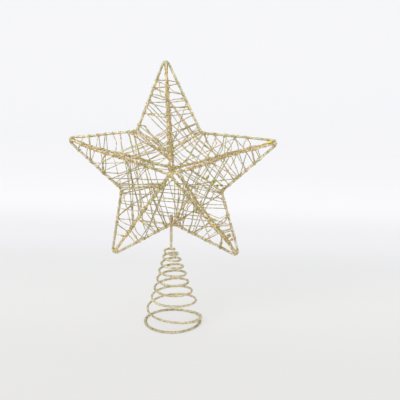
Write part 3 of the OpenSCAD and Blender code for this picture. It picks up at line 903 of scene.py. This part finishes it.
# drops of glue that hold the thin wire: colour, place, radius, lean of the wire
glueDrops = {
    "arm_winding_left": [
        ("green", -66.6, -4.2, 160.8, 1.1, 23), ("amber", -79.4, -4.6, 172.9, 1, -96),
        ("yellow", -53.7, -9, 176.3, 1.1, 162), ("amber", -54.6, -8.9, 176.6, 1.3, 162),
        ("brown", -50.1, -9.4, 175.1, 1.4, 162), ("amber", -44.4, -10.7, 174.8, 1.3, -83),
        ("green", -44.7, -10, 173.4, 1.1, 162),
    ],
    "arm_winding_lower_left": [
        ("cream", -39.3, -9.1, 107.8, 1.3, -89), ("yellow", -28.8, -8.4, 108.4, 1.3, -47),
        ("green", -37.7, -5.8, 92.9, 1.3, -63), ("yellow", -41.8, -8.8, 108.3, 1.1, -79),
    ],
    "arm_winding_lower_right": [
        ("amber", 41.2, -8.3, 106.8, 1.7, 37), ("green", 32.1, -9.2, 114.7, 1.2, -54),
        ("green", 40.7, -8.1, 112.3, 1.1, -17), ("brown", 45.2, -5, 85.2, 1.2, -97),
        ("dark", 47.8, -6.3, 93, 1.3, -54), ("green", 55.6, -2.9, 114.2, 1.4, -80),
        ("brown", 22.3, -4.5, 95.9, 1, -133), ("green", 15.6, -5.3, 103.1, 1, -104),
        ("brown", 50.3, -5.8, 89.6, 1.5, -54), ("green", 50.9, -5.7, 88.8, 1.3, -54),
        ("brown", 52.8, -5.4, 86.1, 1.3, -54), ("green", 52.3, -6.1, 93.9, 1.5, 26),
        ("dark", 54.9, -5.2, 95.1, 1.3, 26), ("green", 54.2, -5.4, 94.8, 1.7, 26),
        ("brown", 56, -5.1, 92.6, 1.5, 25), ("dark", 52.1, -6.1, 93.8, 1.4, 26),
        ("amber", 52.3, -6.3, 90.9, 1.5, 25), ("green", 45.4, -5.3, 86.5, 1.7, -97),
        ("brown", 45.7, -2.9, 81.1, 1.4, -28), ("green", 41, -8, 112.2, 1.8, -17),
        ("green", 38, -8.8, 113.2, 1.5, -17),
    ],
    "arm_winding_right": [
        ("yellow", 53.2, -2.9, 198.8, 1.2, -8), ("amber", 65.6, -2.9, 156.9, 1, 44),
        ("amber", 57.6, -9.4, 170.5, 1, -118), ("yellow", 93.2, -4.5, 191.5, 1.9, 22),
        ("yellow", 90.7, -4.9, 190.6, 1.3, 22), ("brown", 91.1, -2.9, 193.8, 1.2, -8),
        ("dark", 97.4, -2.9, 187.2, 1, 44), ("amber", 55.3, -9.2, 179.4, 1.3, -81),
        ("brown", 58.3, -8.9, 180.4, 1.2, -51), ("brown", 43.7, -10.2, 176.7, 1.4, -67),
        ("cream", 64, -7.8, 179.6, 1.2, 18), ("green", 74.3, -6.7, 183, 1.1, 18),
        ("green", 80.3, -2.9, 195.2, 1.1, -8),
    ],
    "arm_winding_top": [
        ("amber", -28, -2.9, 208.3, 1.5, 64), ("amber", 1.8, -6.8, 241.4, 1.2, -26),
        ("cream", -12.3, -2.9, 241.2, 1.5, 64), ("green", -5.5, -6.3, 236.4, 1.1, -26),
        ("pink", -10.5, -5.6, 231.8, 1, -20), ("green", 14.9, -4.5, 231.1, 1.2, 15),
        ("yellow", 20.4, -2.9, 224.3, 1.5, 116), ("green", 23.3, -2.9, 218.1, 1.2, 116),
        ("brown", 9.2, -2.9, 247.7, 1.1, 116), ("amber", 10.2, -2.9, 245.5, 1.2, 116),
        ("amber", -2.5, -9.8, 212.3, 1, -15), ("dark", 0, -9.1, 214.3, 0.9, 90),
        ("green", -15.7, -6, 216.7, 1.2, -3), ("yellow", -18.9, -2.9, 227.4, 1.2, 64),
        ("cream", -22.6, -2.9, 219.7, 1.3, 64),
    ],
    "front_web_winding": [
        ("yellow", -28.6, -10.8, 187.7, 1.1, 22), ("brown", 26.4, -5.3, 200.3, 1.5, 42),
        ("dark", 3.4, -12.2, 187.6, 1.1, 70), ("green", 5.4, -13.1, 183.3, 1.1, -40),
        ("yellow", -4.7, -12.8, 179.5, 1.1, -43), ("amber", -11.4, -9.7, 192.7, 1.5, -40),
        ("brown", 20.3, -7.3, 194.9, 1.4, 42), ("pink", 0, -11.3, 193.6, 1.1, 90),
        ("brown", -1, -12.8, 188.7, 1.1, 23), ("amber", 0, -13.5, 173.8, 1.2, 90),
        ("dark", 0, -14, 169.1, 0.9, 90), ("dark", -0.8, -14.9, 157.5, 1, -128),
        ("brown", 6.2, -14.5, 167.6, 1.2, 27), ("amber", -15.4, -13.5, 167.4, 1.2, -62),
        ("brown", -28.5, -9.6, 144, 1, 14), ("amber", -21.8, -11.2, 145.6, 1, 14),
        ("green", -24.2, -12.3, 138.5, 1.1, -76), ("dark", -21, -11.2, 130, 1.3, -126),
        ("pink", 27.1, -10.5, 191.6, 1.1, -56), ("dark", 35, -10.1, 189.3, 1, -50),
        ("yellow", 19.7, -12, 141.8, 1.1, -18), ("brown", 19.1, -12.9, 138.4, 1.2, -65),
        ("dark", 22.5, -12.3, 135, 1.2, -106), ("pink", 24, -10.6, 146.5, 1.2, -13),
        ("green", 10.9, -14.7, 155.8, 1.2, -65), ("green", 24, -12.4, 170.7, 1.3, -115),
        ("brown", -37.5, -10.8, 171, 1.4, 162), ("amber", 10.3, -6.7, 111.8, 1.7, -136),
        ("brown", 5.3, -10.5, 115.9, 1.2, -9), ("dark", -1.9, -2.9, 104.8, 1.1, -152),
        ("brown", 3.5, -5.6, 108.8, 1.3, 36), ("green", 23.4, -11.1, 123.2, 1.5, 36),
        ("green", 29.6, -11.3, 130.9, 1.2, -119), ("amber", -2.5, -13, 135.2, 0.8, -9),
        ("amber", 52, -2.9, 144, 1.6, 44), ("brown", 49.9, -5.4, 148.7, 1.2, -3),
        ("pink", -6.2, -4.7, 105.6, 1.2, -10), ("dark", 35.9, -11.6, 157.5, 1.2, -116),
        ("green", 40.6, -11.1, 169.9, 1.1, -29), ("green", 35.9, -11.6, 157.5, 1.4, -116),
        ("dark", 35.5, -11.6, 156.8, 1.2, -116), ("green", 42.2, -10.6, 153.1, 1.5, -119),
        ("brown", 46.3, -6.2, 148.9, 1.3, -3), ("dark", 52, -2.9, 144, 1.1, 44),
        ("green", 31.6, -11, 129.7, 1.3, -117), ("dark", 24.4, -11, 119.9, 1.2, -11),
        ("green", 17.3, -13.6, 170, 1.2, -42), ("brown", -20.7, -11.5, 145.9, 1.2, 14),
        ("yellow", -18.3, -12.2, 143.7, 1, -74), ("brown", -35.7, -11, 170.5, 1.3, 162),
        ("green", -31.5, -11.4, 173.7, 1.1, -86), ("amber", -28.2, -12.1, 171.3, 1, -79),
        ("dark", -30.4, -11.6, 168.7, 1, 162), ("dark", 34.8, -10.1, 189.6, 1.2, -50),
        ("green", 35.8, -11.6, 157.3, 1.6, -116), ("green", 42.2, -10.6, 153.1, 1.6, -119),
        ("green", 43.5, -10.4, 152.9, 1.5, -117),
    ],
}


def squareTo(along, outward):
    # the outward direction, made square to a wire
    return unit(outward - along * np.dot(outward, along))


wrapSettings = {
    "perTurn": 12,
    "fewest": 6,
    "hug": 0.6,  # how far off the wire under it, as a share of the wound wire's radius
}


def wrapEnd(spot, along, coreR, wireR, outward, towards, turns, pitch):
    # a few turns about the frame wire, that end on its outer side and run towards the next wire
    e = squareTo(along, outward)
    b = np.cross(along, e)
    if np.dot(b, towards) < 0:
        b = -b
    count = max(int(turns * wrapSettings["perTurn"]), wrapSettings["fewest"])
    a = np.linspace(-2 * math.pi * turns, 0, count)[:, None]
    r = coreR + wireR * wrapSettings["hug"]
    return spot + r * (np.cos(a) * e + np.sin(a) * b) + along * pitch * a / (2 * math.pi)


def strandRun(row, rng):
    s = strandSettings
    shares = [part for part in row if isinstance(part, float)]
    words = [part for part in row if isinstance(part, str)]
    bends = sorted(part for part in row if isinstance(part, tuple))
    codes, kind = words[:len(shares)], "".join(words[len(shares):])
    face = next((code[1] for code in codes if code[1] in faceSides), "F")
    outward = np.array([0.0, faceSides[face], 0.0])
    wireR = s["thick"] if kind == "thick" else s["radius"]
    ends, stops = [], []
    for code, share in zip(codes, shares):
        start, end, coreR = frameWire(code)
        along = unit(end - start)
        spot = start + share * (end - start)
        ends.append((spot, along, coreR))
        stops.append(spot + squareTo(along, outward) * (coreR + wireR * s["lift"]))
    first, *between, last = stops
    side = unit(np.cross(last - first, [0, 1, 0]))
    middle = between + [first + t * (last - first) + off * side for t, off in bends]
    line = bendThrough([first, *middle, last], s["step"])
    if not middle:
        swell = np.sin(np.linspace(0, math.pi, len(line)))[:, None]
        bow = rng.normal(0, s["bow"])
        line = line + swell * (bow * side + abs(rng.normal(0, s["bow"])) * s["outBow"] * outward)
        line = line + wander(rng, len(line), s["wiggleReach"], s["wiggle"])
    pitch = rng.choice([-1, 1]) * rng.uniform(*s["pitch"])
    turns = rng.uniform(*s["turns"], 2)
    wraps = [
        wrapEnd(*ends[0], wireR, outward, line[3] - line[0], turns[0], pitch),
        wrapEnd(*ends[-1], wireR, outward, line[-4] - line[-1], turns[1], pitch),
    ]
    radii = wireR * (1 + s["uneven"] * smoothNoise(rng, len(line), s["unevenReach"]))
    knotShare, knotSize = s["knots"]
    radii[rng.random(len(line)) < knotShare] *= knotSize
    radii = np.clip(radii, *s["radiusLimits"])
    runs = [(line, radii, False)]
    if kind == "double":
        aside, out = s["double"]
        runs.append((line + side * aside + outward * out, radii[::-1], False))
    return runs, [bodyRun(wrap, wireR, rng, s["uneven"]) for wrap in wraps]


dropSettings = {
    "pull": (1, 0.3, 1),  # a drop moves to the nearest wire, and sooner in depth than sideways
    "onFrame": 0.6,  # how far in front of a frame wire's middle line
    "frameStep": 1,
    "size": 0.78,
    "fineAbove": 1.2,
    "stretch": (1.3, 2.1),
    "lean": 0.2,
}
frontWires = [str(arm) + code for arm in range(armCount) for code in "FLR"]


def addDrops(rows, lines, rng):
    s = dropSettings
    frames = [resample(frameWire(code)[:2], s["frameStep"]) - (0, s["onFrame"], 0) for code in frontWires]
    carriers = np.vstack(lines + frames)
    drops = []
    for tint, *spot, size, lean in rows:
        spot = carriers[np.argmin(np.linalg.norm((carriers - spot) * s["pull"], axis=1))]
        lean = math.radians(lean)
        along = (math.cos(lean), rng.uniform(-s["lean"], s["lean"]), math.sin(lean))
        stretch = rng.uniform(*s["stretch"])
        detail = 3 if size > s["fineAbove"] else 2
        drops.append(addBlob("drop", spot, along, rng, s["size"] * size, stretch, glueTints[tint], detail))
    return drops


def makeWinding(piece, rows, seed):
    s = strandSettings
    rng = np.random.default_rng(seed)
    byTint = [[] for _ in strandTints]
    for row in rows:
        runs, wraps = strandRun(row, rng)
        byTint[rng.integers(1, len(strandTints))].extend(runs)
        byTint[0].extend(wraps)
    parts = [addWires("strands", runs, s["sides"], tint) for runs, tint in zip(byTint, strandTints) if runs]
    lines = [line for runs in byTint for line, _, _ in runs]
    parts += addDrops(glueDrops.get(piece, []), lines, rng)
    winding = joinPieces(piece + "_glitter", parts)
    finishWires(winding, piece, "star", thinGold, s, seed, bendByHand)


for number, (piece, rows) in enumerate(sorted(windings.items())):
    makeWinding(piece, rows, strandSettings["seed"] + number)
print("thin windings made")

# thick twisted strands from the notches to the ridges

tieSettings = {
    # name, arm, side of the arm, share of the way out along the ridge, sag
    "ways": [
        ("upper_left", 0, -1, 0.17, 3),
        ("upper_right", 0, 1, 0.23, 0),
        ("right", 1, 1, 0.19, -1),
        ("bottom", 2, 1, 0.28, 1),
        ("left", 3, 1, 0.14, 0.5),
    ],
    "footAt": (53.34, -2.11),  # distance out and depth
    "headAside": 2.05,
    "outSag": -0.5,
    "radius": 0.55,
    "twistR": 0.5,
    "twistPitch": 5.5,
    "strands": 3,
    "step": 0.6,
    "sides": 8,
    "uneven": 0.15,
    "wrapR": 0.5,
    "footWrap": (2.4, 1.3),  # turns and pitch
    "headWrap": (2.6, 1.2),
    "lump": 0.35,
    "grain": 0.2,
    "flakes": 2,
    "tint": (1, 1, 1),
    "seed": 500,
}


def makeTie(name, arm, side, share, sag, seed):
    s = tieSettings
    rng = np.random.default_rng(seed)
    footOut, footY = s["footAt"]
    foot = byNotch(arm, side, footOut, footY)
    (tipY, tipZ), (apexY, apexZ) = starFrame["ridgeTip"], starFrame["ridgeApex"]
    top = share * starFrame["tipAt"]
    ridgeY = tipY + (apexY - tipY) * (tipZ - top) / (tipZ - apexZ)
    head = onArm(arm, side * s["headAside"], -ridgeY, top)
    way = head - foot
    middle = (foot + head) / 2 + sag * unit(np.cross(way, [0, 1, 0])) + [0, s["outSag"], 0]
    path = bendThrough([foot, middle, head], s["step"])
    runs = []
    twists = np.linalg.norm(way) / s["twistPitch"]
    for k in range(s["strands"]):
        line = aroundWire(path, s["twistR"], twists, 2 * math.pi * k / s["strands"])
        runs.append(bodyRun(line, s["radius"], rng, s["uneven"]))
    outward = np.array([0.0, -1.0, 0.0])
    start, end, ridgeR = frameWire("%dF" % arm)
    onNotch = byNotch(arm, side, footOut, 0)
    onRidge = start + (top - apexZ) / (tipZ - apexZ) * (end - start)
    for spot, along, coreR, towards, (turns, pitch) in (
        (onNotch, unit(np.cross(outward, way)), starFrame["outlineR"], way, s["footWrap"]),
        (onRidge, unit(end - start), ridgeR, -way, s["headWrap"]),
    ):
        wrap = wrapEnd(spot, along, coreR, s["wrapR"], outward, towards, turns, pitch)
        runs.append(bodyRun(wrap, s["wrapR"], rng, s["uneven"]))
    tie = addWires("tie_%s_glitter" % name, runs, s["sides"], s["tint"])
    finishWires(tie, "tie_wire_" + name, "star", glitterGold, s, seed, bendByHand)


for number, way in enumerate(tieSettings["ways"]):
    makeTie(*way, tieSettings["seed"] + number)
print("ties made")

# blobs of glitter glue

beadSettings = {
    "tip": {"size": 2.1, "stretch": 1.25, "detail": 4},
    "tipAt": 101.2,
    "tipTints": [
        (0.8, 0.84, 0.76), (0.95, 0.9, 0.66), (0.85, 0.95, 0.74), (0.95, 0.97, 0.62), (1, 0.97, 0.8),
    ],
    "apex": {"size": 3.1, "stretch": 0.8, "detail": 4, "tint": (1, 0.97, 0.8)},
    "apexLean": 0.1,
    "stem": {"size": 2.5, "stretch": 0.9, "detail": 4, "tint": (1, 0.9, 0.65)},
    "stemSpot": (0, -0.9, 105.4),
    "foot": {"size": 1.45, "stretch": 1.1, "detail": 3, "tint": (0.95, 1, 0.75)},
    "footSpot": (27.9, 0.2, 1.55),
    "coat": {"lump": 0.5, "grain": 0.25, "flakes": 3},
    "footCoat": {"lump": 0.3, "grain": 0.25, "flakes": 3},
    "seeds": {"shapes": 61, "tip": 70, "apex": 80, "stem": 85, "foot": 86},
}


def makeBeads():
    s = beadSettings
    seeds = s["seeds"]
    rng = np.random.default_rng(seeds["shapes"])
    for arm, (name, tint) in enumerate(zip(armNames, s["tipTints"])):
        along = onArm(arm, 0, 0, 1) - onArm(arm, 0, 0, 0)
        blob = addBlob("tip_glue_" + name, onArm(arm, 0, 0, s["tipAt"]), along, rng, tint=tint, **s["tip"])
        finishBlob(blob, "tip_bead_" + name, "star", s["coat"], seeds["tip"] + arm, bendByHand)
    for side, name in ((-1, "front"), (1, "back")):
        spot = onArm(0, 0, side * starFrame["ridgeApex"][0], 0)
        blob = addBlob(name + "_apex_glue", spot, (0, side, s["apexLean"]), rng, **s["apex"])
        finishBlob(blob, name + "_apex_bead", "star", s["coat"], seeds["apex"] + side, bendByHand)
    blob = addBlob("stem_glue", s["stemSpot"], (0, 0, 1), rng, **s["stem"])
    finishBlob(blob, "stem_bead", "star", s["coat"], seeds["stem"])
    blob = addBlob("foot_end_glue", s["footSpot"], (0, 1, 0), rng, **s["foot"])
    restOnFloor(blob)
    finishBlob(blob, "foot_bead", "foot", s["footCoat"], seeds["foot"], restOnFloor)


makeBeads()
print("glue blobs made")

# stem, spring and foot: one wire in the real thing

springSettings = {
    "radius": 1.04,
    "tint": (0.935, 0.96, 1.0),
    # along the first turn: millimetres from its start, times the spring's radius
    "thickFrom": [(0, 1.365), (45, 1.365), (80, 1)],
    "footR": 27.9,
    "topR": 6,
    "floorZ": 0.5,
    "rise": 77,
    "turns": 7.76,
    "climb": 0.67,
    "narrow": 0.7,
    "settle": 0.28,
    "narrowFrom": 0.4,
    "landing": 85,
    "perTurn": 64,
    "neckTurns": 0.45,
    "neckRise": 3,
    "neckPower": 5,
    "neckPoints": 40,
    "topZ": 86,
    "step": 0.5,
    "sides": 10,
    "uneven": 0.06,
    "lump": 0.4,
    "grain": 0.25,
    "flakes": 2.2,
    "pressed": 35,
    # hand-wound: how far the wire stands off the even spiral, by turn, across and up
    "strays": [
        (0, 0, 0), (0.125, 0.3, -0.8), (0.25, 0.9, 0.2), (0.375, 0.3, 1), (0.5, 0, 1.2), (0.625, -0.3, 0.3),
        (0.75, -1.2, 0), (1, 0, 0), (1.25, 0.5, 0.3), (1.375, 0, 1), (1.5, 0, 0.3), (1.625, -0.3, -1.2),
        (1.75, -0.2, -0.8), (1.875, 0, -1.5), (2, 0, -1.4), (2.125, 0, -1.2), (2.25, -0.2, 0), (2.5, 0, -0.2),
        (2.625, -0.3, -1), (2.75, -0.1, -0.8), (2.875, 0, -1.4), (3, 0, -1.3), (3.25, -1, 0),
        (3.375, -0.5, 0.8), (3.5, 0, 0), (3.75, -0.2, 0), (4, 0, 0), (4.25, -0.6, 0.3), (4.375, -0.3, 1),
        (4.5, 0, 1.2), (4.75, -0.9, 0), (5, -0.2, 0), (5.25, -1.2, 0.5), (5.375, -0.7, 1.2), (5.5, 0, 1.7),
        (5.75, -0.8, 0), (6, 0, 1.1), (6.25, -1.4, 0.4), (6.5, -0.3, 1.3), (6.75, -1, 0), (7, -0.7, 0),
        (7.25, -1.4, 0), (7.5, -1, -0.3), (7.76, -1.9, -0.5), (8, -1, -1.9), (8.21, -0.8, -2),
    ],
    "strayReach": 7,
    "stemLean": -0.8,
    "seed": 91,
    "flakeSeed": 92,
}


def softened(values, reach):
    # rounds off the corners of a line of values and leaves its ends
    padded = np.concatenate([np.full(reach, values[0]), values, np.full(reach, values[-1])])
    return np.convolve(padded, np.ones(2 * reach + 1) / (2 * reach + 1), "valid")


def springPath():
    s = springSettings
    coil = np.linspace(0, s["turns"], int(s["turns"] * s["perTurn"]))
    neck = np.linspace(0, 1, s["neckPoints"])[1:]
    turns = np.concatenate([coil, s["turns"] + s["neckTurns"] * neck])
    share = np.maximum(coil - s["narrowFrom"], 0) / (s["turns"] - s["narrowFrom"])
    coilR = s["footR"] - (s["footR"] - s["topR"]) * share ** s["narrow"]
    coilRise = s["rise"] * (coil / s["turns"]) ** s["climb"] * (1 - np.exp(-coil / s["settle"]))
    r = np.concatenate([coilR, s["topR"] * (1 - neck ** s["neckPower"])])
    rise = np.concatenate([coilRise, s["rise"] + s["neckRise"] * neck])
    at, across, up = np.array(s["strays"]).T
    a = math.radians(s["landing"]) - 2 * math.pi * turns
    x = r * np.cos(a) + softened(np.interp(turns, at, across), s["strayReach"])
    y = r * np.sin(a)
    y[turns < footSettings["backTurns"]] *= footSettings["back"]
    z = s["floorZ"] + rise + softened(np.interp(turns, at, up), s["strayReach"])
    return np.vstack([np.stack([x, y, z], 1), (s["stemLean"], 0, s["topZ"])])


def makeSpring():
    s = springSettings
    rng = np.random.default_rng(s["seed"])
    path = resample(springPath(), s["step"])
    far, thick = np.array(s["thickFrom"]).T
    radii = s["radius"] * np.interp(np.arange(len(path)) * s["step"], far, thick)
    spring = addWires("coil_spring_glitter", [bodyRun(path, radii, rng, s["uneven"])], s["sides"], s["tint"])
    finishWires(spring, "coil_spring", "foot", glitterGold, s, s["flakeSeed"], restOnFloor)
    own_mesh(spring)


footSettings = {
    "radius": 1.42,
    "bulge": 0.03,
    "back": 0.89,  # how deep the turn is behind and in front of its middle, as a share
    "front": 1.02,
    "backTurns": 0.25,  # the spring's first quarter turn follows the foot's back
    "points": 140,
    # painted shade: this tint darkens the whole foot turn, which lies on the floor
    "tint": (0.75, 0.77, 0.77),
    "seed": 95,
    "flakeSeed": 96,
}


def makeFoot():
    s = footSettings
    wire = springSettings
    rng = np.random.default_rng(s["seed"])
    a = np.radians(np.linspace(wire["landing"], 360, s["points"]))
    r = wire["footR"] * (1 + s["bulge"] * np.maximum(0, -np.cos(a)))
    deep = np.where(np.sin(a) > 0, s["back"], s["front"])
    arc = np.stack([r * np.cos(a), r * np.sin(a) * deep, np.full(len(a), wire["floorZ"])], 1)
    line = bodyRun(resample(arc, wire["step"]), s["radius"], rng, wire["uneven"])
    foot = addWires("foot_turn_glitter", [line], wire["sides"], s["tint"])
    finishWires(foot, "foot_turn", "foot", glitterGold, wire, s["flakeSeed"], restOnFloor)


stemSettings = {
    "radius": 1.4,
    "top": 114.95,
    "step": 0.5,
    "sides": 12,
    "uneven": 0.04,
    "lump": 0.2,
    "grain": 0.12,
    "flakes": 0.5,
    "tint": (1, 1, 1),
    "seed": 97,
    "flakeSeed": 98,
}
bindingSettings = {
    "radius": 0.42,
    "coilR": 1.35,
    "from": 109.2,
    "rise": 4.8,
    "turns": 4.5,
    "points": 90,
    "sides": 8,
    "uneven": 0.2,
    "lump": 0.2,
    "grain": 0,
    "flakes": 1.5,
    "tint": (1.08, 1, 0.86),
    "flakeSeed": 99,
}


def makeStem():
    s = stemSettings
    rng = np.random.default_rng(s["seed"])
    start = (springSettings["stemLean"], 0, springSettings["topZ"])
    path = resample([start, (0, 0, s["top"])], s["step"])
    stem = addWires("stem_plain", [bodyRun(path, s["radius"], rng, s["uneven"])], s["sides"], s["tint"])
    finishWires(stem, "stem_wire", "star", plainGold, s, s["flakeSeed"])
    s = bindingSettings
    t = np.linspace(0, 1, s["points"])
    a = 2 * math.pi * s["turns"] * t
    coil = np.stack([s["coilR"] * np.cos(a), s["coilR"] * np.sin(a), s["from"] + s["rise"] * t], 1)
    line = bodyRun(coil, s["radius"], rng, s["uneven"])
    binding = addWires("stem_binding_glitter", [line], s["sides"], s["tint"])
    finishWires(binding, "stem_binding", "star", thinGold, s, s["flakeSeed"])


makeSpring()
makeFoot()
makeStem()
print("spring, foot and stem made")

# floor, light and camera; the room's lengths are metres

stageSettings = {
    # how far back, and the colour that the camera sees there
    "tones": [
        (-0.2, (0.77, 0.763, 0.75)),
        (-0.1, (0.777, 0.773, 0.763)),
        (0.06, (0.816, 0.811, 0.806)),
        (0.15, (0.807, 0.807, 0.812)),
        (0.27, (0.862, 0.855, 0.877)),
        (0.43, (0.942, 0.935, 0.957)),
        (0.65, (0.925, 0.92, 0.947)),
        (0.9, (0.92, 0.92, 0.945)),
    ],
    # away from the photographed part the floor goes over into the room's colour
    "fade": (0.8, 2.8),
    "lit": (0.8, 0.8, 0.8),
    "shadowShare": 0.3,
    "wallAt": 1.5,
    "wallHeight": 1.6,
    "bend": 0.5,
    "bendSteps": 16,
    "slack": 0.01,
    "front": -3.0,
    "halfWidth": 3.0,
}


def stageFinish():
    # the camera and reflections see the tones, the lamps see a pale floor that takes a faint shadow
    s = stageSettings
    made, tree, _ = newFinish("paleStage")
    tree.nodes.clear()
    place = addNode(tree, "ShaderNodeTexCoord", (-800, 0))
    split = addNode(tree, "ShaderNodeSeparateXYZ", (-600, 0), {0: place.outputs["Object"]}).outputs
    nearest, farthest = s["tones"][0][0], s["tones"][-1][0]
    back = addNode(tree, "ShaderNodeMapRange", (-400, 0), {0: split["Y"], 1: nearest, 2: farthest})
    stops = [((at - nearest) / (farthest - nearest), tone) for at, tone in s["tones"]]
    tone = colourRamp(tree, (-180, 100), back.outputs[0], stops, "EASE")
    aside = maths(tree, (-400, 360), "ABSOLUTE", split["X"])
    infront = maths(tree, (-400, 520), "MULTIPLY", split["Y"], -1)
    limits = {0: maths(tree, (-220, 440), "MAXIMUM", aside, infront), 1: s["fade"][0], 2: s["fade"][1]}
    fade = addNode(tree, "ShaderNodeMapRange", (-40, 440), limits, interpolation_type="SMOOTHSTEP")
    room = [part * lightSettings["worldStrength"] for part in lightSettings["world"]]
    seamless = mixed(tree, (120, 360), fade.outputs[0], tone, (*room, 1), "MIX")
    glow = addNode(tree, "ShaderNodeEmission", (300, 240), {"Color": seamless}).outputs[0]
    lit = addNode(tree, "ShaderNodeBsdfDiffuse", (300, 60), {"Color": seamless}).outputs[0]
    plain = addNode(tree, "ShaderNodeBsdfDiffuse", (300, -160), {"Color": (*s["lit"], 1)}).outputs[0]
    parts = {0: s["shadowShare"], 1: glow, 2: lit}
    faint = addNode(tree, "ShaderNodeMixShader", (480, 100), parts).outputs[0]
    rays = addNode(tree, "ShaderNodeLightPath", (-600, -300)).outputs
    seen = maths(tree, (-400, -300), "MAXIMUM", rays["Is Camera Ray"], rays["Is Glossy Ray"])
    seen = maths(tree, (-220, -300), "MAXIMUM", seen, rays["Is Transmission Ray"])
    both = addNode(tree, "ShaderNodeMixShader", (660, 0), {0: seen, 1: plain, 2: faint})
    addNode(tree, "ShaderNodeOutputMaterial", (840, 0), {"Surface": both.outputs[0]})
    return made


def selectFoldEdge(floor):
    # the floor's edge under the wall, for the next step in edit mode
    s = stageSettings
    bpy.ops.object.mode_set(mode="OBJECT")
    for edge in floor.data.edges:
        ends = [floor.data.vertices[v].co for v in edge.vertices]
        edge.select = all(p.y > s["wallAt"] - s["slack"] and p.z < s["slack"] for p in ends)
    bpy.ops.object.mode_set(mode="EDIT")


def makeStage():
    s = stageSettings
    deselectAll()
    bpy.ops.mesh.primitive_plane_add(size=1, location=(0, 0, 0))
    floor = bpy.context.object
    floor.name = "floorAndBackdrop"
    depth = s["wallAt"] - s["front"]
    size = Matrix.Diagonal((2 * s["halfWidth"], depth, 1, 1))
    floor.data.transform(Matrix.Translation((0, s["front"] + depth / 2, 0)) @ size)
    bpy.ops.object.mode_set(mode="EDIT")
    bpy.ops.mesh.select_mode(type="EDGE")
    bpy.ops.mesh.select_all(action="DESELECT")
    selectFoldEdge(floor)
    bpy.ops.mesh.extrude_region_move(TRANSFORM_OT_translate={"value": (0, 0, s["wallHeight"])})
    selectFoldEdge(floor)
    bpy.ops.mesh.bevel(offset=s["bend"], segments=s["bendSteps"], affect="EDGES")
    bpy.ops.object.mode_set(mode="OBJECT")
    bpy.ops.object.shade_smooth()
    floor.data.materials.append(stageFinish())


lightSettings = {
    "world": (0.98, 0.99, 1.0),
    "worldStrength": 0.92,
    # name, place, size, power and colour
    "lamps": [
        ("keyLamp", (-0.9, -0.9, 1.3), 0.9, 10, (1, 0.98, 0.95)),
        ("fillLamp", (1.2, -0.7, 0.8), 1.0, 4, (0.95, 0.98, 1)),
    ],
    "aim": (0, 0, 0.13),
}


def makeLights():
    s = lightSettings
    world = bpy.data.worlds.new("paleRoom")
    bpy.context.scene.world = world
    world.use_nodes = True
    sky = world.node_tree.nodes["Background"]
    plug(world.node_tree, sky, {"Color": (*s["world"], 1), "Strength": s["worldStrength"]})
    for name, spot, size, power, colour in s["lamps"]:
        deselectAll()
        bpy.ops.object.light_add(type="AREA", location=spot)
        lamp = bpy.context.object
        lamp.name = name
        lamp.data.size = size
        lamp.data.energy = power
        lamp.data.color = colour
        lamp.rotation_euler = (Vector(s["aim"]) - Vector(spot)).to_track_quat("-Z", "Y").to_euler()


cameraSettings = {
    "spot": (96.63, -675.67, 330.71),  # millimetres
    "yaw": -5.753,
    "pitch": -16.392,
    "roll": 0.348,
    "lens": 64.886,
    "sensor": 36,
    "clip": (0.02, 30),
}


def makeCamera():
    s = cameraSettings
    deselectAll()
    bpy.ops.object.camera_add(location=Vector(s["spot"]) * mm)
    camera = bpy.context.object
    camera.name = "photoView"
    camera.data.sensor_width = s["sensor"]
    camera.data.lens = s["lens"]
    camera.data.clip_start, camera.data.clip_end = s["clip"]
    turn = (
        Matrix.Rotation(math.radians(-s["yaw"]), 3, "Z")
        @ Matrix.Rotation(math.radians(90 + s["pitch"]), 3, "X")
        @ Matrix.Rotation(math.radians(-s["roll"]), 3, "Z")
    )
    camera.rotation_euler = turn.to_euler()
    bpy.context.scene.camera = camera


makeStage()
makeLights()
makeCamera()
bpy.context.scene.view_settings.view_transform = "Standard"
bpy.data.objects.remove(bpy.data.objects["flakePattern"], do_unlink=True)

print("stage, lights and camera made")
